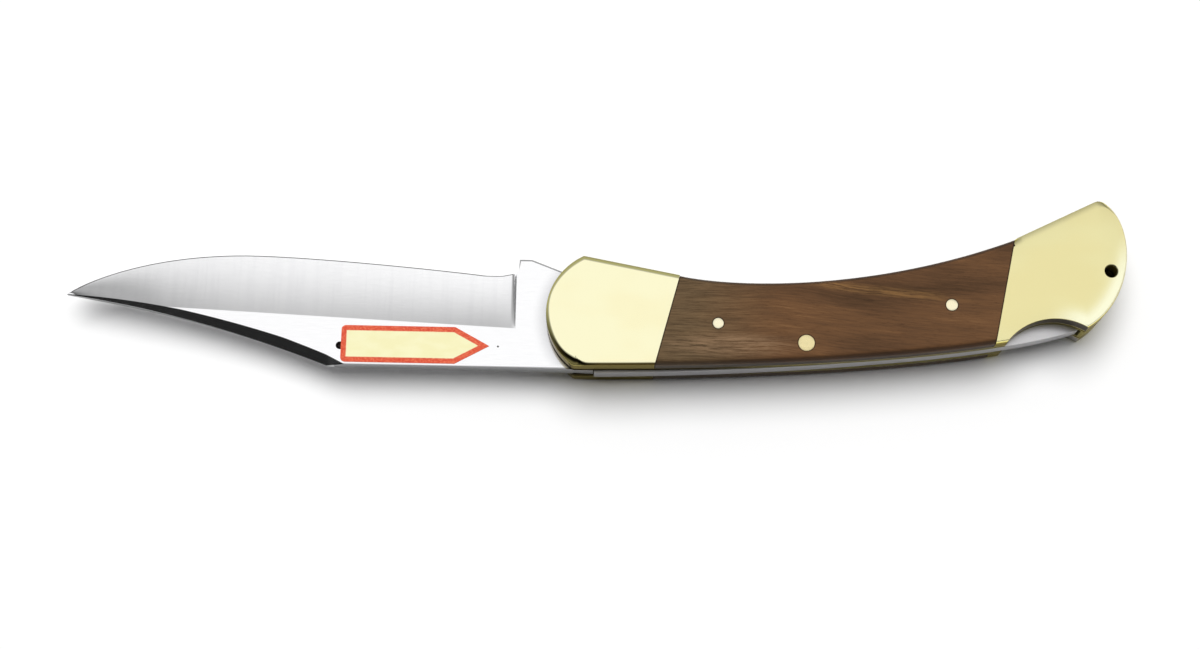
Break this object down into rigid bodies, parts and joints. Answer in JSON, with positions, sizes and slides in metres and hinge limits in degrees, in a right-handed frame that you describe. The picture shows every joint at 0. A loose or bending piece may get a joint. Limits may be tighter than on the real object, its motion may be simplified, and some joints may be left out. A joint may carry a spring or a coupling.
{
  "type": "folding pocket knife",
  "caption": "Lockback folding knife: hollow ground clip-point blade, brass bolsters and liners, dark hardwood scales, rocking lock bar with thumb notch, lanyard hole.",
  "frame": {"origin": "on the blade's pivot axis, at the flush pin end in the side that the knife rests on", "axes": "+X along the handle to the butt, with the open blade towards -X; +Y to the cutting edge and the belly of the handle; +Z across the thickness, up from the resting side"},
  "size_m": [0.2284, 0.039, 0.0148],
  "materials": {
    "brass": "polished solid brass",
    "liner_brass": "ground sheet brass",
    "blade_steel": "hollow ground and polished stainless steel",
    "spring_steel": "ground carbon steel",
    "wood": "sanded tropical hardwood with fine dark grain",
    "sticker_paper": "thin foil sticker, red border round a bare pale panel"
  },
  "bodies": {
    "handle": {"back_spring": "spring_steel", "rear_spacer": "brass", "liner_lower": "liner_brass", "front_bolster_lower": "brass", "wood_scale_lower": "wood", "rear_bolster_lower": "brass", "front_scale_pin_lower": "brass", "rear_scale_pin_lower": "brass", "liner_upper": "liner_brass", "front_bolster_upper": "brass", "wood_scale_upper": "wood", "rear_bolster_upper": "brass", "front_scale_pin_upper": "brass", "rear_scale_pin_upper": "brass", "pivot_pin": "brass", "rocker_pin": "brass", "front_butt_pin": "brass", "rear_butt_pin": "brass"},
    "blade": {"blade": "blade_steel", "inspection_sticker": "sticker_paper"},
    "lock_bar": {"lock_bar": "spring_steel"}
  },
  "joints": [
    {"name": "blade_fold", "type": "hinge", "parent": "handle", "child": "blade", "pos_m": [0, 0, 0.0074], "axis": [0, 0, -1], "range_deg": [0, 170.5]},
    {"name": "lock_bar_rock", "type": "hinge", "parent": "handle", "child": "lock_bar", "pos_m": [0.04698, -0.00674, 0.0074], "axis": [0, 0, 1], "range_deg": [0, 3.2], "stiffness_Nm_per_rad": 5.9, "springref_deg": -3.18, "deforming": ["back_spring"]}
  ]
}
